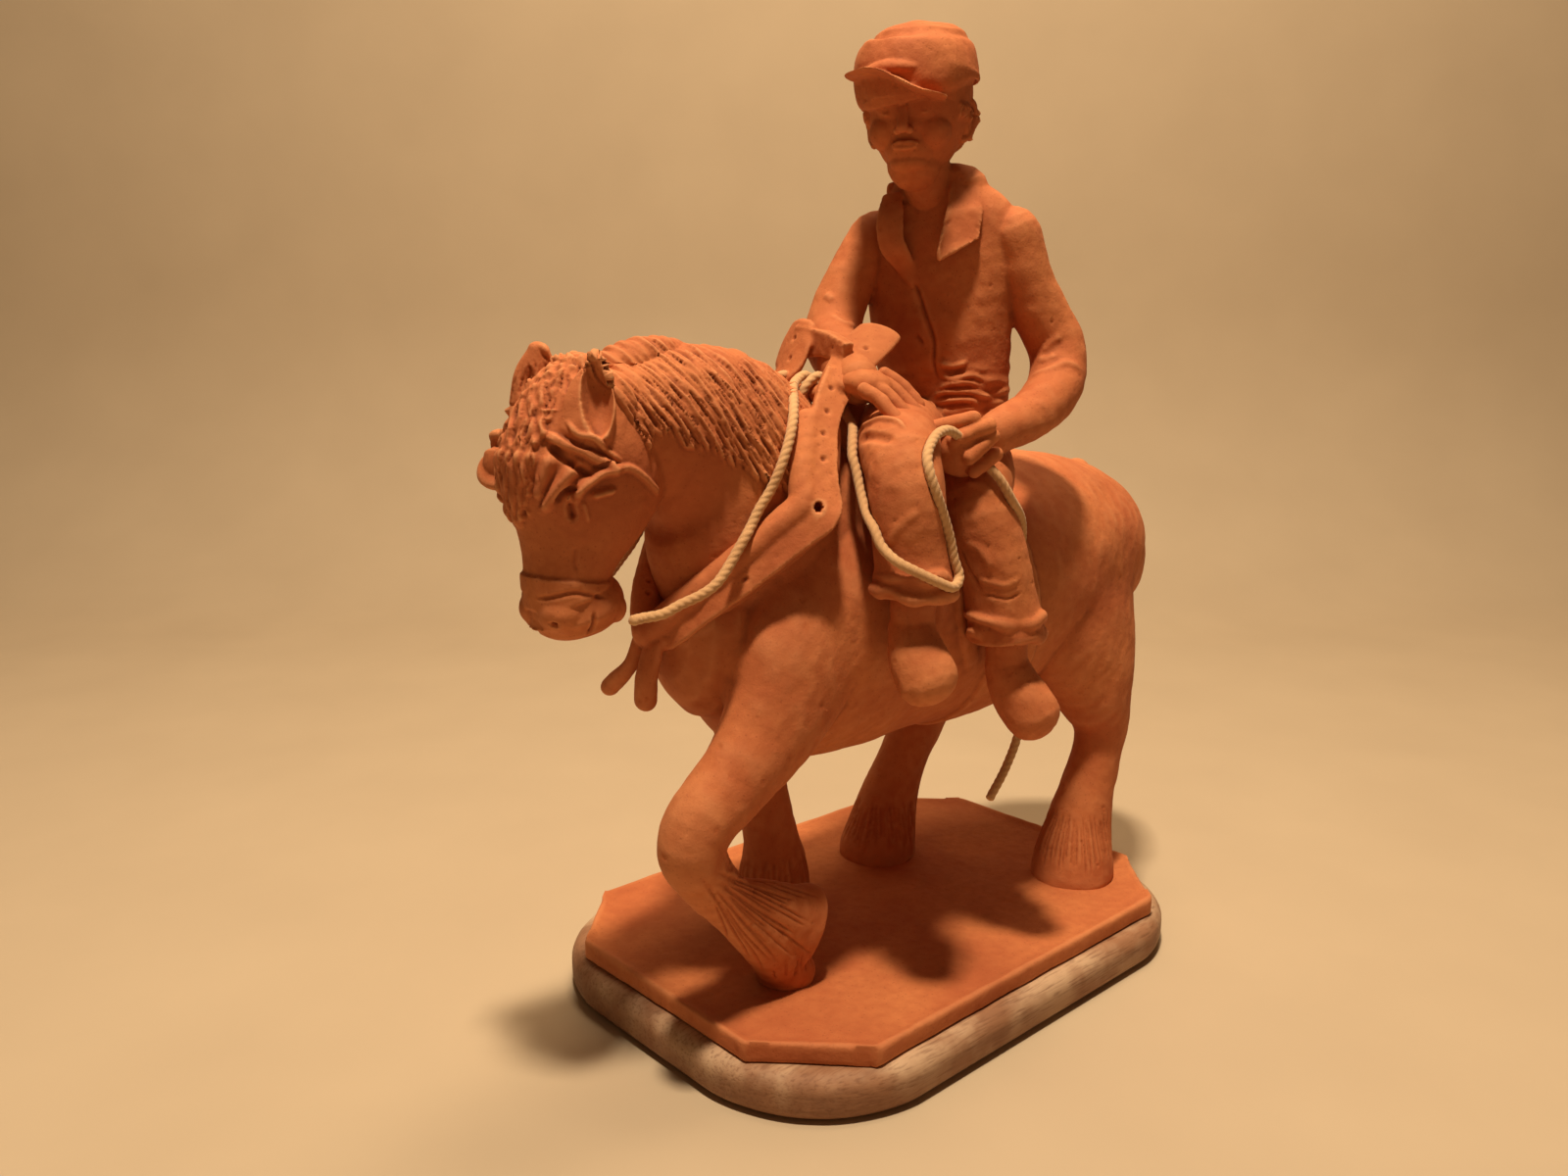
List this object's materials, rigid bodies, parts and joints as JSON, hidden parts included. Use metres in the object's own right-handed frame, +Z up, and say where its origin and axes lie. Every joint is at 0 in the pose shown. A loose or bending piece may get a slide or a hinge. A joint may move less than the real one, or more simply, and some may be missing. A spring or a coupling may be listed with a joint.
{
  "type": "terracotta horse and rider figure",
  "caption": "Matte terracotta working horse in collar and hames with a capped rider sitting sideways on it, on a clay slab and wooden plinth, with cotton cord reins.",
  "frame": {"origin": "centre of the plinth's underside", "axes": "+X from the horse's head towards its rump, +Z up, -Y the near side where the rider's legs hang"},
  "size_m": [0.3798, 0.202, 0.4265],
  "materials": {
    "limed_wood": "pale limed wood with a soft sheen and fine grain",
    "terracotta": "matte unglazed fired clay with tool marks",
    "near_cotton": "pale beige twisted cotton",
    "far_cotton": "pale beige twisted cotton"
  },
  "bodies": {
    "root": {"plinth": "limed_wood", "horse_and_rider": "terracotta", "near_rein": "near_cotton", "far_rein": "far_cotton"}
  },
  "joints": []
}
